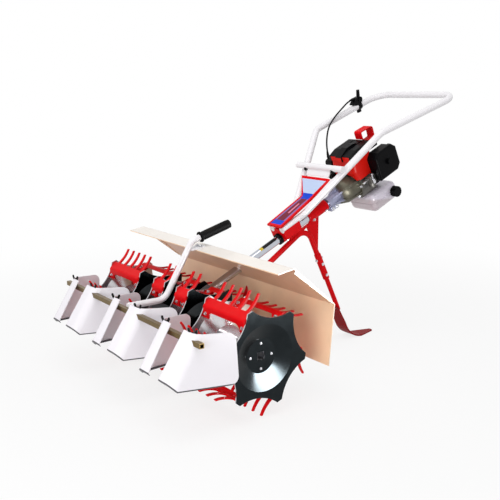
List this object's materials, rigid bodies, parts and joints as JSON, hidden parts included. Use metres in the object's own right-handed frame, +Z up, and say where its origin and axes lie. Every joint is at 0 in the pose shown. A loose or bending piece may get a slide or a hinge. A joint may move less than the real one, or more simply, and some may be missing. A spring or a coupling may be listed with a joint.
{
  "type": "power paddy weeder",
  "caption": "Walk-behind engine-driven paddy weeder with tined star-disc rotors, float shields, mud guard, drive tube, stand and looped handle.",
  "frame": {"origin": "centre of the footprint, on the ground under the tine tips", "axes": "+X across the crop rows, +Y from the floats back to the hand bar, +Z up"},
  "size_m": [0.8526, 1.339, 0.9143],
  "materials": {
    "disc_steel": "semi-gloss dark grey enamel with polished dish",
    "red_enamel": "gloss red enamel",
    "white_enamel": "gloss white enamel",
    "cream_sheet": "cream painted sheet",
    "yellow_zinc": "yellow passivated zinc",
    "axle_steel": "oiled bare steel",
    "chrome_tube": "bright plated tube",
    "cast_alloy": "die-cast aluminium",
    "gear_case": "painted casting",
    "black_plastic": "moulded black plastic",
    "red_plastic": "moulded orange-red plastic",
    "tank_plastic": "translucent white moulding",
    "grip_rubber": "ribbed rubber",
    "muffler_steel": "heat-proof black"
  },
  "bodies": {
    "frame": {"gearbox": "gear_case", "drive_tube": "chrome_tube", "tube_ring": "black_plastic", "lower_collar": "red_enamel", "upper_collar": "red_enamel", "frame_tube": "red_enamel", "stand_socket": "red_enamel", "stand_leg": "red_enamel", "stand_foot": "red_enamel", "mud_guard": "cream_sheet", "guard_bracket": "white_enamel", "lift_handle": "white_enamel", "lift_grip": "grip_rubber", "float_bar": "yellow_zinc", "handle_rails": "white_enamel", "handle_crossbar": "white_enamel", "label_panel": "red_enamel", "throttle_lever": "black_plastic", "throttle_cable": "black_plastic", "clutch_housing": "cast_alloy", "crankcase": "cast_alloy", "cylinder_shroud": "red_plastic", "top_cover": "black_plastic", "engine_hook": "red_enamel", "starter_housing": "black_plastic", "air_filter": "black_plastic", "muffler": "muffler_steel", "fuel_tank": "tank_plastic", "fuel_cap": "black_plastic", "float_left_a": "white_enamel", "float_left_b": "white_enamel", "float_middle_a": "white_enamel", "float_middle_b": "white_enamel", "float_right_a": "white_enamel", "float_right_b": "white_enamel"},
    "rotor": {"axle": "axle_steel", "hub_sleeves": "disc_steel", "discs_left": "disc_steel", "discs_middle_left": "disc_steel", "discs_middle_right": "disc_steel", "discs_right": "disc_steel", "combs_left": "red_enamel", "combs_middle_left": "red_enamel", "combs_middle_right": "red_enamel", "combs_right": "red_enamel"}
  },
  "joints": [
    {"name": "rotor_spin", "type": "hinge", "parent": "frame", "child": "rotor", "pos_m": [0, -0.3725, 0.18], "axis": [1, 0, 0], "continuous": true}
  ]
}
